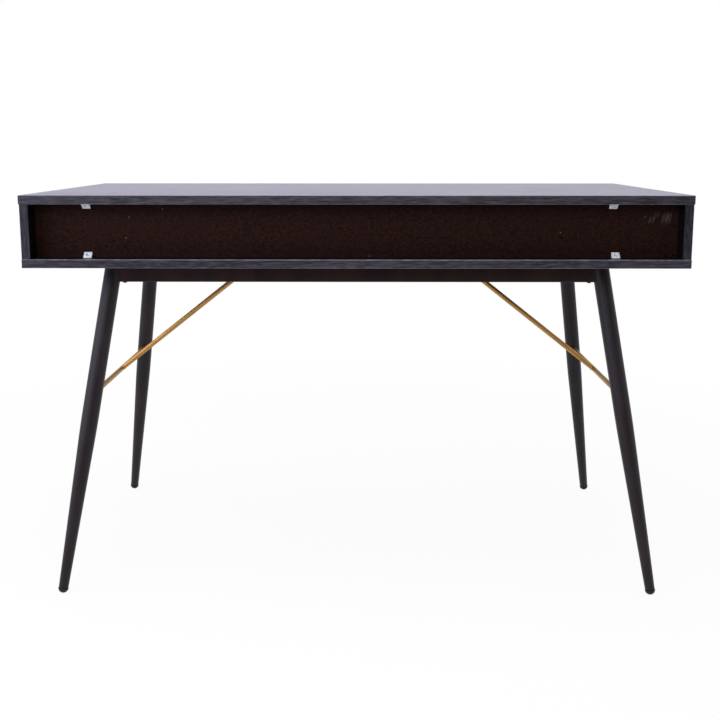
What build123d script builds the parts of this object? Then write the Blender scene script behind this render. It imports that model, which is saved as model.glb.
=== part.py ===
from build123d import *
import math
import os

# Overall sizes of the desk, in millimetres
desk_width = 1200.0
desk_depth = 600.0
desk_height = 750.0
box_height = 130.0

# Laminated boards of the box; the ends of the sides and of the bottom stand in from the top
board = 16.0
edge_bevel = 0.8
side_setback = 1.5
bottom_setback = 0.8

# Sunk hardboard back in grooves
sheet = 3.0
back_recess = 36.0
groove_depth = 6.0
groove_play = 0.2
groove_end_play = 0.5

# Wedge clips that press the back against its grooves, placed by hand along the width
clip_width = 15.0
clip_leg = 10.0
clip_floor = 2.4
clip_bevel = 0.8
clip_hole_offset = 4.2
upper_clip_places = (488.0, -464.0)
lower_clip_places = (488.0, -471.0)
clip_screw_bite = 8.0

# Dowels and cam fittings of the box
fitting_inset = 60.0
dowel_radius = 4.0
dowel_length = 30.0
dowel_bite = 10.0
cam_radius = 7.5
cam_depth = 12.5
cam_reach = 34.0
bolt_bite = 11.0
bolt_radius = 3.0
fitting_play = 0.2

# Steel under-frame
rail_height = 40.0
rail_thickness = 20.0
tube_wall = 1.5
weld_gap = 0.2
leg_radius = 16.0
leg_end_radius = 9.0
taper_height = 312.0
leg_top_end_inset = 136.0
leg_top_edge_inset = 128.0
foot_end_inset = 43.0
foot_edge_inset = 4.0

# Foot caps
cap_overhang = 0.6
cap_rim = 3.5
cap_sole = 3.26
cap_sole_slope = 40.0
cap_spigot_length = 14.0
cap_play = 0.2

# Bolts that hold the rails to the bottom panel
rail_bolt_gap = 0.5
rail_bolt_radius = 3.0
rail_bolt_head_radius = 5.2
rail_bolt_head = 2.6
rail_bolt_bite = 12.0

# Brass braces
rod_radius = 5.0
stretcher_height = 370.0
brace_top_place = 189.0
pad_length = 24.0
pad_width = 52.0
pad_thickness = 3.0
pad_screw_spacing = 36.0
pad_screw_bite = 12.0

# Drawers
drawer_board = 12.0
front_gap = 2.0
finger_gap = 18.0
finger_bevel = 11.0
drawer_lift = 10.0
drawer_head_room = 30.0
drawer_rear_space = 95.0
drawer_sheet_height = 12.0
drawer_cam_radius = 6.0
drawer_cam_depth = 9.0
drawer_cam_reach = 24.0
drawer_cam_drop = 19.0
back_setback = 10.0
housing_depth = 5.0

# Roller runners: folded steel, a roller at the front of the bay and one at the rear of the drawer
runner_gap = 12.5
runner_steel = 1.0
runner_lift = 3.0
runner_front_clear = 2.0
lower_flange = 11.0
lower_lip = 3.5
upper_flange = 6.0
upper_flange_start = 30.0
track_flange = 9.0
track_gap = 0.7
roller_radius = 9.0
roller_width = 6.0
roller_place = 15.0
roller_gap = 0.3
roller_side_gap = 2.0
pin_radius = 2.5
pin_play = 0.1
front_screw_place = 110.0
rear_screw_place = 100.0
screw_pitch = 32.0

# Small wood screws
screw_radius = 1.6
screw_head_radius = 3.2
screw_head = 1.6
screw_bite = 10.0
screw_play = 0.1

# Flats round the shanks, the heads, the hidden bores and the rollers
shank_sides = 6
head_sides = 6
bore_sides = 6
roller_sides = 30

# Levels and edges that the pieces share
left, right = -1, 1
front, rear = -1, 1
box_bottom = desk_height - box_height
bay_floor = box_bottom + board
bay_ceiling = desk_height - board
end = desk_width / 2
front_edge = -desk_depth / 2
rear_edge = desk_depth / 2
side_outer = end - side_setback
side_inner = side_outer - board
back_outer = rear_edge - back_recess
back_inner = back_outer - sheet

parts = {}
upward = (Align.CENTER, Align.CENTER, Align.MIN)


def block(x0, x1, y0, y1, z0, z1):
    """A box between two values on each axis."""
    middle = Pos((x0 + x1) / 2, (y0 + y1) / 2, (z0 + z1) / 2)
    return middle * Box(abs(x1 - x0), abs(y1 - y0), abs(z1 - z0))


def rod(start, finish, radius):
    """A round bar between two points."""
    path = Vector(*finish) - Vector(*start)
    return Plane(origin=start, z_dir=path).location * Cylinder(radius, path.length, align=upward)


def bar(start, finish, radius, sides):
    """A bar with flats between two points; the radius reaches its corners."""
    path = Vector(*finish) - Vector(*start)
    return Plane(origin=start, z_dir=path).location * extrude(RegularPolygon(radius, sides), path.length)


def shifted(point, direction, distance):
    """A point moved along a direction."""
    return tuple(Vector(*point) + Vector(*direction) * distance)


def screw(seat, direction, length, radius=screw_radius, head_radius=screw_head_radius, head=screw_head):
    """A screw: its head stands back from the seat, its shank runs along the direction."""
    cap = bar(shifted(seat, direction, -head), seat, head_radius, head_sides)
    return cap + bar(seat, shifted(seat, direction, length), radius, shank_sides)


def screw_hole(seat, direction, length, radius=screw_radius):
    """The hole that a screw's shank fills."""
    return bar(seat, shifted(seat, direction, length), radius + screw_play, shank_sides)


def cam_joint(seat, direction, reach, face_way, face_distance, radius, depth):
    """A cam sunk in a board's face and the bolt that it draws, from the board behind the seat; with their holes."""
    cam_face = shifted(shifted(seat, direction, reach), face_way, face_distance)
    cam_floor = shifted(cam_face, face_way, -depth)
    lock = bar(cam_face, cam_floor, radius, head_sides)
    pocket = bar(cam_face, cam_floor, radius + fitting_play, head_sides)
    bolt_start = shifted(seat, direction, -bolt_bite)
    bolt_end = shifted(seat, direction, reach - radius - fitting_play)
    bolt = bar(bolt_start, bolt_end, bolt_radius, shank_sides)
    bolt_hole = bar(bolt_start, shifted(seat, direction, reach), bolt_radius + fitting_play, shank_sides)
    return lock, bolt, pocket, bolt_hole


def joined(pieces):
    """Several separate solids in one node."""
    return Compound(children=[solid for piece in pieces for solid in piece.solids()])


# Boards of the box, with eased outer edges
top_panel = block(-end, end, front_edge, rear_edge, bay_ceiling, desk_height)
top_panel = chamfer(top_panel.edges(), edge_bevel)
bottom_end = end - bottom_setback
bottom_panel = block(-bottom_end, bottom_end, front_edge, rear_edge, box_bottom, bay_floor)
bottom_panel = chamfer(bottom_panel.edges(), edge_bevel)


def upright(x0, x1, y0, y1):
    """A standing board between the bottom and the top, eased at its front and rear edges."""
    standing = block(x0, x1, y0, y1, bay_floor, bay_ceiling)
    return chamfer(standing.edges().filter_by(Axis.Z), edge_bevel)


uprights = {
    "left_side_panel": upright(-side_outer, -side_inner, front_edge, rear_edge),
    "centre_divider": upright(-board / 2, board / 2, front_edge, back_inner - groove_end_play),
    "right_side_panel": upright(side_inner, side_outer, front_edge, rear_edge),
}
upright_centres = {
    "left_side_panel": -(side_inner + side_outer) / 2,
    "centre_divider": 0.0,
    "right_side_panel": (side_inner + side_outer) / 2,
}

# Grooves for the back panel
groove_end = side_inner + groove_depth
groove_bottom = bay_floor - groove_depth
groove_top = bay_ceiling + groove_depth
groove = block(
    -groove_end, groove_end, back_inner - groove_play, back_outer + groove_play, groove_bottom, groove_top
)
top_panel -= groove
bottom_panel -= groove
for name in ("left_side_panel", "right_side_panel"):
    uprights[name] -= groove
parts["back_panel"] = block(
    -groove_end + groove_end_play,
    groove_end - groove_end_play,
    back_inner,
    back_outer,
    groove_bottom + groove_end_play,
    groove_top - groove_end_play,
)

# Cams hold the sides to the two long boards, and dowels hold the divider
dowels = []
cam_locks = []
cam_bolts = []
for name, centre in upright_centres.items():
    for row in (front_edge + fitting_inset, back_inner - fitting_inset):
        for level, rise in ((bay_floor, 1), (bay_ceiling, -1)):
            into_upright = (0, 0, rise)
            seat = (centre, row, level)
            if name == "centre_divider":
                dowel_start = shifted(seat, into_upright, -dowel_bite)
                dowel_finish = shifted(dowel_start, into_upright, dowel_length)
                hole = bar(dowel_start, dowel_finish, dowel_radius + fitting_play, shank_sides)
                dowels.append(bar(dowel_start, dowel_finish, dowel_radius, shank_sides))
                uprights[name] -= hole
            else:
                towards_bay = (-math.copysign(1, centre), 0, 0)
                lock, bolt, pocket, hole = cam_joint(
                    seat, into_upright, cam_reach, towards_bay, board / 2, cam_radius, cam_depth
                )
                cam_locks.append(lock)
                cam_bolts.append(bolt)
                uprights[name] -= [pocket, hole]
            if rise > 0:
                bottom_panel -= hole
            else:
                top_panel -= hole
parts["divider_dowels"] = joined(dowels)
parts["carcass_cam_locks"] = joined(cam_locks)
parts["carcass_cam_bolts"] = joined(cam_bolts)


def wedge_clip(place, level, rise):
    """A wedge in the corner behind the back panel, with a pocket in its slope for the screw's head."""
    corner = (back_outer, level)
    outline = Polyline(corner, (back_outer + clip_leg, level), (back_outer, level - rise * clip_leg), close=True)
    wedge = extrude(Plane.YZ.offset(place) * make_face(outline), clip_width / 2, both=True)
    wedge = chamfer(wedge.edges().filter_by(Axis.X).sort_by(Axis.Y)[-1], clip_bevel)
    seat = (place, back_outer + clip_hole_offset, level - rise * clip_floor)
    pocket_end = shifted(seat, (0, 0, -rise), clip_leg)
    pocket = bar(pocket_end, seat, screw_head_radius + screw_play, head_sides)
    return wedge - pocket, seat


# Wedge clips and their screws, which run square into the top and bottom panels
clips = []
clip_screws = []
for level, rise, places in ((bay_ceiling, 1, upper_clip_places), (bay_floor, -1, lower_clip_places)):
    for place in places:
        clip, seat = wedge_clip(place, level, rise)
        into_board = (0, 0, rise)
        hole = screw_hole(seat, into_board, clip_floor + clip_screw_bite)
        clips.append(clip - hole)
        clip_screws.append(screw(seat, into_board, clip_floor + clip_screw_bite))
        if rise > 0:
            top_panel -= hole
        else:
            bottom_panel -= hole
parts["back_panel_clips"] = joined(clips)
parts["back_panel_clip_screws"] = joined(clip_screws)

# Legs: round tube, straight above and tapered below, cut level under the box
leg_top_x = end - leg_top_end_inset
leg_top_y = rear_edge - leg_top_edge_inset
foot_x = end - foot_end_inset
foot_y = rear_edge - foot_edge_inset
leg_path = Vector(leg_top_x - foot_x, leg_top_y - foot_y, box_bottom)
leg_rise = box_bottom / leg_path.length
cap_rim_radius = leg_end_radius + cap_overhang
leg_end = cap_sole + cap_rim
taper_start = taper_height / leg_rise
leg_stock = leg_path.length + leg_radius


def leg_point(side, row, height):
    """The leg's axis at a height above the floor."""
    share = height / box_bottom
    x = foot_x + (leg_top_x - foot_x) * share
    y = foot_y + (leg_top_y - foot_y) * share
    return (side * x, row * y, height)


def leg_frame(side, row):
    """The place of a leg's own axis, from the floor upwards."""
    foot = leg_point(side, row, 0)
    return Plane(origin=foot, z_dir=Vector(*leg_point(side, row, box_bottom)) - Vector(*foot)).location


def leg_bar(growth):
    """A straight and tapered round bar along its own axis, grown or shrunk from the leg's outside."""
    straight = Pos(0, 0, taper_start) * Cylinder(leg_radius + growth, leg_stock - taper_start, align=upward)
    taper = Cone(leg_end_radius + growth, leg_radius + growth, taper_start - leg_end, align=upward)
    return straight + Pos(0, 0, leg_end) * taper


def leg_bore():
    """The hidden bore of a leg, with flats, one wall inside its outside."""
    outline = RegularPolygon(leg_radius - tube_wall, bore_sides)
    taper_length = taper_start - leg_end
    narrowing = (leg_radius - leg_end_radius) * math.cos(math.pi / bore_sides)
    slope = math.degrees(math.atan(narrowing / taper_length))
    tapered = Rot(180, 0, 0) * extrude(outline, taper_length, taper=slope)
    return Pos(0, 0, taper_start) * (tapered + extrude(outline, leg_stock - taper_start))


def foot_cap():
    """A plastic cap: spigot in the tube, rim under its end and a bevelled sole that runs past the floor."""
    rim = Pos(0, 0, cap_sole) * Cylinder(cap_rim_radius, cap_rim, align=upward)
    sole_height = 2 * cap_sole
    sole_radius = cap_rim_radius - sole_height * math.tan(math.radians(cap_sole_slope))
    sole = Pos(0, 0, cap_sole - sole_height) * Cone(sole_radius, cap_rim_radius, sole_height, align=upward)
    spigot = extrude(RegularPolygon(leg_end_radius - tube_wall - cap_play, bore_sides), cap_spigot_length)
    return rim + sole + Pos(0, 0, leg_end) * spigot


above_legs = block(-end, end, front_edge, rear_edge, box_bottom, desk_height)
below_floor = block(-desk_width, desk_width, -desk_depth, desk_depth, -desk_height, 0)
leg_cutters = {}
foot_caps = []
for side, side_name in ((left, "left"), (right, "right")):
    for row, row_name in ((front, "front"), (rear, "rear")):
        place = leg_frame(side, row)
        tube = place * (leg_bar(0) - leg_bore())
        parts[f"{row_name}_{side_name}_leg"] = tube - above_legs
        foot_caps.append(place * foot_cap() - below_floor)
        leg_cutters[side, row] = place * leg_bar(weld_gap)
parts["foot_caps"] = joined(foot_caps)

# Rails under the box, between the legs of the front and of the rear
rail_bottom = box_bottom - rail_height
rail_x, rail_y, _ = leg_point(right, rear, box_bottom - rail_height / 2)


def rail(row):
    """A rectangular tube between two legs, each end cut to the round of its leg."""
    y0 = row * rail_y - rail_thickness / 2
    y1 = row * rail_y + rail_thickness / 2
    tube = block(-rail_x, rail_x, y0, y1, rail_bottom, box_bottom)
    hollow = block(-rail_x, rail_x, y0 + tube_wall, y1 - tube_wall, rail_bottom + tube_wall, box_bottom - tube_wall)
    return tube - hollow - [leg_cutters[left, row], leg_cutters[right, row]]


rail_bolt_x = leg_top_x - leg_radius / leg_rise - rail_bolt_radius - rail_bolt_gap
rail_bolts = []
for row, row_name in ((front, "front"), (rear, "rear")):
    beam = rail(row)
    for side in (left, right):
        seat = (side * rail_bolt_x, row * rail_y, rail_bottom)
        reach = rail_height + rail_bolt_bite
        rail_bolts.append(screw(seat, (0, 0, 1), reach, rail_bolt_radius, rail_bolt_head_radius, rail_bolt_head))
        hole = screw_hole(seat, (0, 0, 1), reach, rail_bolt_radius)
        beam -= hole
        bottom_panel -= hole
    parts[f"{row_name}_rail"] = beam
parts["rail_bolts"] = joined(rail_bolts)

# Brass stretchers between the legs of each end, and the braces that rise from their middles to the box
pad_bottom = box_bottom - pad_thickness
pad_screws = []
for side, side_name in ((left, "left"), (right, "right")):
    front_end = leg_point(side, front, stretcher_height)
    rear_end = leg_point(side, rear, stretcher_height)
    stretcher = rod(front_end, rear_end, rod_radius)
    parts[f"{side_name}_stretcher"] = stretcher - [leg_cutters[side, front], leg_cutters[side, rear]]
    brace_foot = (front_end[0], 0, stretcher_height)
    brace_top = (side * brace_top_place, 0, pad_bottom)
    rise = (Vector(*brace_top) - Vector(*brace_foot)).normalized()
    strut = rod(brace_foot, shifted(brace_top, tuple(rise), pad_length), rod_radius)
    above_pad = block(-end, end, front_edge, rear_edge, pad_bottom, desk_height)
    pad_middle = brace_top[0]
    pad = block(
        pad_middle - pad_length / 2,
        pad_middle + pad_length / 2,
        -pad_width / 2,
        pad_width / 2,
        pad_bottom,
        box_bottom,
    )
    pad = chamfer(pad.edges().filter_by(Axis.Z), pad_thickness)
    brace = strut - above_pad - rod(front_end, rear_end, rod_radius + weld_gap) + pad
    for row in (front, rear):
        seat = (pad_middle, row * pad_screw_spacing / 2, pad_bottom)
        reach = pad_thickness + pad_screw_bite
        hole = screw_hole(seat, (0, 0, 1), reach)
        brace -= hole
        bottom_panel -= hole
        pad_screws.append(screw(seat, (0, 0, 1), reach))
    parts[f"{side_name}_brace"] = brace
parts["brace_screws"] = joined(pad_screws)

# Heights and places of the runners, shared by the bay's half and the drawer's half
runner_bottom = bay_floor + runner_lift
runner_tread = runner_bottom + runner_steel
rear_roller_z = runner_tread + roller_gap + roller_radius
track_bottom = rear_roller_z + roller_radius + track_gap
front_roller_z = track_bottom - roller_gap - roller_radius
track_top = track_bottom + runner_steel
runner_top = track_top + track_gap + runner_steel
front_back = front_edge + board
runner_front = front_back + runner_front_clear
runner_rear = back_inner - drawer_rear_space
runner_length = runner_rear - runner_front
front_roller_y = runner_front + roller_place
rear_roller_y = runner_rear - roller_place
drawer_bottom = bay_floor + drawer_lift
drawer_top = bay_ceiling - drawer_head_room
screw_level = (drawer_bottom + track_top) / 2
web_inner = runner_gap - runner_steel


def folded(wall, inward, corners):
    """A folded steel strip along the runner; its corners are (distance from the wall, height)."""
    middle = (wall, (runner_front + runner_rear) / 2, 0)
    section = Plane(origin=middle, x_dir=(inward, 0, 0), z_dir=(0, -inward, 0))
    strip = trace(Polyline(*corners), runner_steel)
    return extrude(section * strip, runner_length / 2, both=True)


def roller_pin(start, direction):
    """A pin riveted in the steel, as long as the roller needs."""
    return bar(start, shifted(start, direction, roller_side_gap + roller_width), pin_radius, bore_sides)


def roller(start, direction):
    """A nylon roller on its pin."""
    near = shifted(start, direction, roller_side_gap)
    far = shifted(near, direction, roller_width)
    bore_radius = (pin_radius + pin_play) / math.cos(math.pi / bore_sides)
    return bar(near, far, roller_radius, roller_sides) - bar(near, far, bore_radius, bore_sides)


def bay_runner(wall, inward, screw_rows):
    """The runner on the bay's wall: web, tread with a lip, and a short flange over the rear roller."""
    half = runner_steel / 2
    corners = [
        (upper_flange, runner_top - half),
        (half, runner_top - half),
        (half, runner_bottom + half),
        (lower_flange - half, runner_bottom + half),
        (lower_flange - half, runner_bottom + lower_lip),
    ]
    channel = folded(wall, inward, corners)
    mouth = block(
        wall + inward * runner_steel,
        wall + inward * runner_gap,
        runner_front,
        runner_front + upper_flange_start,
        track_top,
        runner_top,
    )
    face = wall + inward * runner_steel
    pin = roller_pin((face, front_roller_y, front_roller_z), (inward, 0, 0))
    holes = [screw_hole((face, row, screw_level), (-inward, 0, 0), screw_bite) for row in screw_rows]
    return channel - mouth + pin, holes


def drawer_runner(wall, inward, screw_rows):
    """The runner on the drawer: foot under its side, web, and the track that lies on the front roller."""
    half = runner_steel / 2
    corners = [
        (runner_gap + drawer_board, drawer_bottom - half),
        (runner_gap - half, drawer_bottom - half),
        (runner_gap - half, track_bottom + half),
        (runner_gap - track_flange, track_bottom + half),
    ]
    angle = folded(wall, inward, corners)
    face = wall + inward * web_inner
    pin = roller_pin((face, rear_roller_y, rear_roller_z), (-inward, 0, 0))
    holes = [screw_hole((face, row, screw_level), (inward, 0, 0), screw_bite) for row in screw_rows]
    return angle + pin, holes


def grooved(piece, x0, x1, y0, y1):
    """A drawer board with the groove that holds the drawer's bottom sheet."""
    low = drawer_bottom + drawer_sheet_height
    return piece - block(x0, x1, y0, y1, low - groove_play, low + sheet + groove_play)


bay_screws = []


def drawer(name, x0, x1):
    """One drawer in the bay between two walls, with the runners, rollers and fittings that carry it."""
    outer = {left: x0 + runner_gap, right: x1 - runner_gap}
    inner = {left: outer[left] + drawer_board, right: outer[right] - drawer_board}
    sheet_x = (inner[left] - groove_depth, inner[right] + groove_depth)
    back_rear = runner_rear - back_setback
    back_front = back_rear - drawer_board
    sheet_y = (front_back - groove_depth, back_front + groove_depth)
    groove_box = (*sheet_x, *sheet_y)

    # Front, with a bevel behind its top edge for the fingers
    face = block(
        x0 + front_gap,
        x1 - front_gap,
        front_edge,
        front_back,
        bay_floor + front_gap,
        bay_ceiling - finger_gap,
    )
    upper_back = face.edges().filter_by(Axis.X).group_by(Axis.Z)[-1].sort_by(Axis.Y)[-1]
    face = chamfer(upper_back, finger_bevel)
    face = chamfer(face.faces().sort_by(Axis.Y)[0].edges(), edge_bevel)
    face = grooved(face, *groove_box)

    # Back, housed in the sides, and bottom
    tail_x = (inner[left] - housing_depth, inner[right] + housing_depth)
    tail = block(*tail_x, back_front, back_rear, drawer_bottom, drawer_top)
    parts[f"{name}_back"] = grooved(tail, *groove_box)
    housing_x = (tail_x[0] - groove_end_play, tail_x[1] + groove_end_play)
    housing = block(*housing_x, back_front - groove_play, back_rear + groove_play, drawer_bottom, drawer_top)
    floor_level = drawer_bottom + drawer_sheet_height
    parts[f"{name}_bottom"] = block(
        sheet_x[0] + groove_end_play,
        sheet_x[1] - groove_end_play,
        sheet_y[0] + groove_end_play,
        sheet_y[1] - groove_end_play,
        floor_level,
        floor_level + sheet,
    )

    locks = []
    bolts = []
    runner_screws = []
    front_rollers = []
    rear_rollers = []
    for side, side_name in ((left, "left"), (right, "right")):
        wall = x0 if side == left else x1
        inward = -side
        flank = block(outer[side], inner[side], front_back, runner_rear, drawer_bottom, drawer_top)
        flank = chamfer(flank.edges().filter_by(Axis.Y).group_by(Axis.Z)[-1], edge_bevel)
        flank = grooved(flank, *groove_box) - housing

        # Cam that draws the side to the front
        seat = (outer[side] + inward * drawer_board / 2, front_back, drawer_top - drawer_cam_drop)
        lock, bolt, pocket, bolt_hole = cam_joint(
            seat, (0, 1, 0), drawer_cam_reach, (inward, 0, 0), drawer_board / 2, drawer_cam_radius, drawer_cam_depth
        )
        locks.append(lock)
        bolts.append(bolt)
        flank -= [pocket, bolt_hole]
        face -= bolt_hole

        # Runners, with their screws in different holes of the row on the two sides
        shift = screw_pitch if side == right else 0
        rows = (runner_front + front_screw_place + shift, runner_rear - rear_screw_place + shift)
        fixed, fixed_holes = bay_runner(wall, inward, rows)
        moving, moving_holes = drawer_runner(wall, inward, rows)
        parts[f"{name}_{side_name}_bay_runner"] = fixed - fixed_holes
        parts[f"{name}_{side_name}_runner"] = moving - moving_holes
        flank -= moving_holes
        for upright_name in uprights:
            uprights[upright_name] -= fixed_holes
        for row in rows:
            bay_face = wall + inward * runner_steel
            drawer_face = wall + inward * web_inner
            bay_screws.append(screw((bay_face, row, screw_level), (side, 0, 0), screw_bite))
            runner_screws.append(screw((drawer_face, row, screw_level), (inward, 0, 0), screw_bite))
        front_rollers.append(roller((wall + inward * runner_steel, front_roller_y, front_roller_z), (inward, 0, 0)))
        rear_rollers.append(roller((wall + inward * web_inner, rear_roller_y, rear_roller_z), (side, 0, 0)))
        parts[f"{name}_{side_name}_side"] = flank

    parts[f"{name}_front"] = face
    parts[f"{name}_cam_locks"] = joined(locks)
    parts[f"{name}_cam_bolts"] = joined(bolts)
    parts[f"{name}_runner_screws"] = joined(runner_screws)
    parts[f"{name}_front_rollers"] = joined(front_rollers)
    parts[f"{name}_rear_rollers"] = joined(rear_rollers)


drawer("left_drawer", -side_inner, -board / 2)
drawer("right_drawer", board / 2, side_inner)
parts["bay_runner_screws"] = joined(bay_screws)

parts["top_panel"] = top_panel
parts["bottom_panel"] = bottom_panel
parts.update(uprights)

os.makedirs("parts", exist_ok=True)
for name, piece in parts.items():
    export_step(piece, f"parts/{name}.step")
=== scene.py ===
# %% [markdown]
# A writing desk with drawers, looked at from behind. A shallow box of black wood-grain boards stands on
# four splayed steel legs, and brass rods brace the legs of each end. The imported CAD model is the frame:
# it says where every piece is, in metres. Boards keep their CAD shape and get better surfaces here.
# Round, folded and moulded pieces are modelled again, because their CAD solids are plainer than the real
# ones.

# %% The frame
import math
import bmesh
import bpy
from mathutils import Matrix, Vector


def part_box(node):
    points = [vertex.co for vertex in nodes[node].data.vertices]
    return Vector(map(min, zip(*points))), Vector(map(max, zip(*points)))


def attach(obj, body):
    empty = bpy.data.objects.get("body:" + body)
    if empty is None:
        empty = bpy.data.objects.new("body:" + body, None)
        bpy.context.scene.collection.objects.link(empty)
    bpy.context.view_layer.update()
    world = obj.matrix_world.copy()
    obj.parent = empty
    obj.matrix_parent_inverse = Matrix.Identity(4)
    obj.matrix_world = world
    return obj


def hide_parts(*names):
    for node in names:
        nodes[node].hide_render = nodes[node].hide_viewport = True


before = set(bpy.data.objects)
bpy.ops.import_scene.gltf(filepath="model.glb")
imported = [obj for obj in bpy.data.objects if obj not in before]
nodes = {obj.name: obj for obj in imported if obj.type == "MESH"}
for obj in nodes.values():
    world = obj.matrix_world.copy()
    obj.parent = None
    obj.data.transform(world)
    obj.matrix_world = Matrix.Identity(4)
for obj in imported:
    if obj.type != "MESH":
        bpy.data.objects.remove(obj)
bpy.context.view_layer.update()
scene = bpy.context.scene

# %% [markdown]
# Some sizes serve more than one piece, or a piece and its finish. A leg leans both ways, so the place of
# a stretcher follows from its height.

# %% Sizes
box_bottom = 0.62
bay_floor = 0.636
bay_ceiling = 0.734
bay_middle = 0.685
side_face = 0.5825
leg_top = Vector((0.464, 0.172, box_bottom))
leg_foot = Vector((0.557, 0.296, 0))
leg_length = (leg_top - leg_foot).length
lean_x = (leg_foot.x - leg_top.x) / box_bottom
lean_y = (leg_foot.y - leg_top.y) / box_bottom
stretcher_z = 0.37
stretcher_x = leg_top.x + lean_x * (box_bottom - stretcher_z)
stretcher_y = leg_top.y + lean_y * (box_bottom - stretcher_z)
pad_size = Vector((0.024, 0.052, 0.003))
pad_x = 0.189
pad_bottom = box_bottom - pad_size.z
print("each leg is", round(leg_length, 3), "m long")

# %% [markdown]
# The photograph was taken from behind the desk, a little above its top. The lens is worked out from the
# corners of the box: they run together as they do for a 50 mm lens on a 36 mm wide picture. The picture
# was cropped around the desk, so the lens is shifted.

# %% Camera
lens = bpy.data.cameras.new("camera")
lens.lens = 50
lens.sensor_width = 36
lens.shift_y = -0.0639
camera = bpy.data.objects.new("camera", lens)
camera.location = (-0.0207, 2.0779, 0.8340)
camera.rotation_euler = (math.radians(90 - 9.465), 0, math.radians(180.427))
scene.collection.objects.link(camera)
scene.camera = camera
scene.view_settings.view_transform = "Standard"
print("camera looks from", tuple(camera.location))

# %% [markdown]
# Shader maths reads best as Python. A Wire holds one output socket, and an expression such as 1 - mask
# adds the Math node that it stands for. The method called node adds any other node: it takes the type,
# the settings, and the values or links of the sockets.


# %% Shader maths
class Wire:
    """One output socket in a node tree."""

    def __init__(self, tree, socket=None):
        self.tree = tree
        self.socket = socket

    def node(self, kind, settings, sockets, out=0):
        """Adds a node and gives back one of its outputs."""
        made = self.tree.nodes.new("ShaderNode" + kind)
        for name, value in settings.items():
            setattr(made, name, value)
        for name, value in sockets.items():
            if isinstance(value, Wire):
                self.tree.links.new(value.socket, made.inputs[name])
            else:
                made.inputs[name].default_value = value
        return Wire(self.tree, made.outputs[out] if made.outputs else None)

    def maths(self, operation, first, second=0.0):
        """Adds a Math node."""
        return self.node("Math", {"operation": operation}, {0: first, 1: second})

    def __add__(self, other):
        return self.maths("ADD", self, other)

    def __radd__(self, other):
        return self.maths("ADD", other, self)

    def __sub__(self, other):
        return self.maths("SUBTRACT", self, other)

    def __rsub__(self, other):
        return self.maths("SUBTRACT", other, self)

    def __mul__(self, other):
        return self.maths("MULTIPLY", self, other)

    def __rmul__(self, other):
        return self.maths("MULTIPLY", other, self)

    def __abs__(self):
        return self.maths("ABSOLUTE", self)


print("shader maths ready")

# %% [markdown]
# Three helpers tell what is looked at from light on its way, make a soft step, and put a shape into the
# scene.


# %% Helpers for the stage
def looked_at(start):
    """1 for what the camera, a reflection or a clear material sees, 0 for light on its way."""
    rays = ("Is Camera Ray", "Is Glossy Ray", "Is Transmission Ray")
    seen, mirrored, through = (start.node("LightPath", {}, {}, ray) for ray in rays)
    return start.maths("MINIMUM", seen + mirrored + through, 1.0)


def rise(wire, low, high):
    """0 below low, 1 above high, and a soft step between."""
    limits = {"Value": wire, "From Min": low, "From Max": high}
    return wire.node("MapRange", {"interpolation_type": "SMOOTHSTEP"}, limits)


def new_object(name, bm):
    """Puts a shape into the scene as an object, and frees the shape."""
    mesh = bpy.data.meshes.new(name)
    bm.to_mesh(mesh)
    bm.free()
    made = bpy.data.objects.new(name, mesh)
    scene.collection.objects.link(made)
    return made


print("helpers for the stage ready")

# %% [markdown]
# The ground is white and hardly shows a shadow. Lamps alone would need far too much power for that, so
# the floor and the world are white where the camera or a reflection looks at them. Near the desk a share
# of the floor is an ordinary matt white, which takes a soft shadow. Further away that share fades, so
# that no horizon shows.

# %% Floor and world
ambient = 0.42
floor_radius = 9
world = bpy.data.worlds.new("studio")
world.use_nodes = True
world.node_tree.nodes.clear()
scene.world = world
sky = Wire(world.node_tree)
sky_strength = ambient + (1 - ambient) * looked_at(sky)
sky_light = sky.node("Background", {}, {"Color": (1, 1, 1, 1), "Strength": sky_strength})
sky.node("OutputWorld", {}, {"Surface": sky_light})

floor_bm = bmesh.new()
bmesh.ops.create_circle(floor_bm, cap_ends=True, segments=96, radius=floor_radius)
floor = new_object("floor", floor_bm)

floor_paint = bpy.data.materials.new("white_floor")
floor_paint.use_nodes = True
floor_paint.node_tree.nodes.clear()
paint = Wire(floor_paint.node_tree)
floor_place = paint.node("TexCoord", {}, {}, "Object")
from_desk = paint.node("VectorMath", {"operation": "LENGTH"}, {0: floor_place}, "Value")
plain_white = looked_at(paint) * (0.93 + 0.07 * rise(from_desk, 0.7, 2.2))
matt = paint.node("BsdfDiffuse", {}, {"Color": (0.86, 0.86, 0.86, 1)})
white = paint.node("Emission", {}, {"Color": (1, 1, 1, 1), "Strength": 1.0})
floor_surface = paint.node("MixShader", {}, {0: plain_white, 1: matt, 2: white})
paint.node("OutputMaterial", {}, {"Surface": floor_surface})
floor.data.materials.append(floor_paint)
print("floor radius", floor_radius, "m, ambient light", ambient)

# %% [markdown]
# Three large soft lamps do the rest. One hangs above the desk. The main one stands above the camera, so
# that the box shades the rail and the tops of the legs, as in the photograph, and a bluish one brightens
# the left end. A black desk shows what it mirrors, so a dark sheet stands behind the camera: the middle
# of each round leg mirrors it and stays darker than its flanks.


# %% Lamps
def soft_lamp(name, place, target, width, height, power, colour):
    """A rectangular lamp that faces a point."""
    lamp = bpy.data.lights.new(name, "AREA")
    lamp.color = colour
    lamp.shape = "RECTANGLE"
    lamp.size = width
    lamp.size_y = height
    lamp.energy = power
    stand = bpy.data.objects.new(name, lamp)
    stand.location = place
    stand.rotation_euler = (Vector(target) - Vector(place)).to_track_quat("-Z", "Y").to_euler()
    stand.visible_camera = False
    scene.collection.objects.link(stand)


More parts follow.
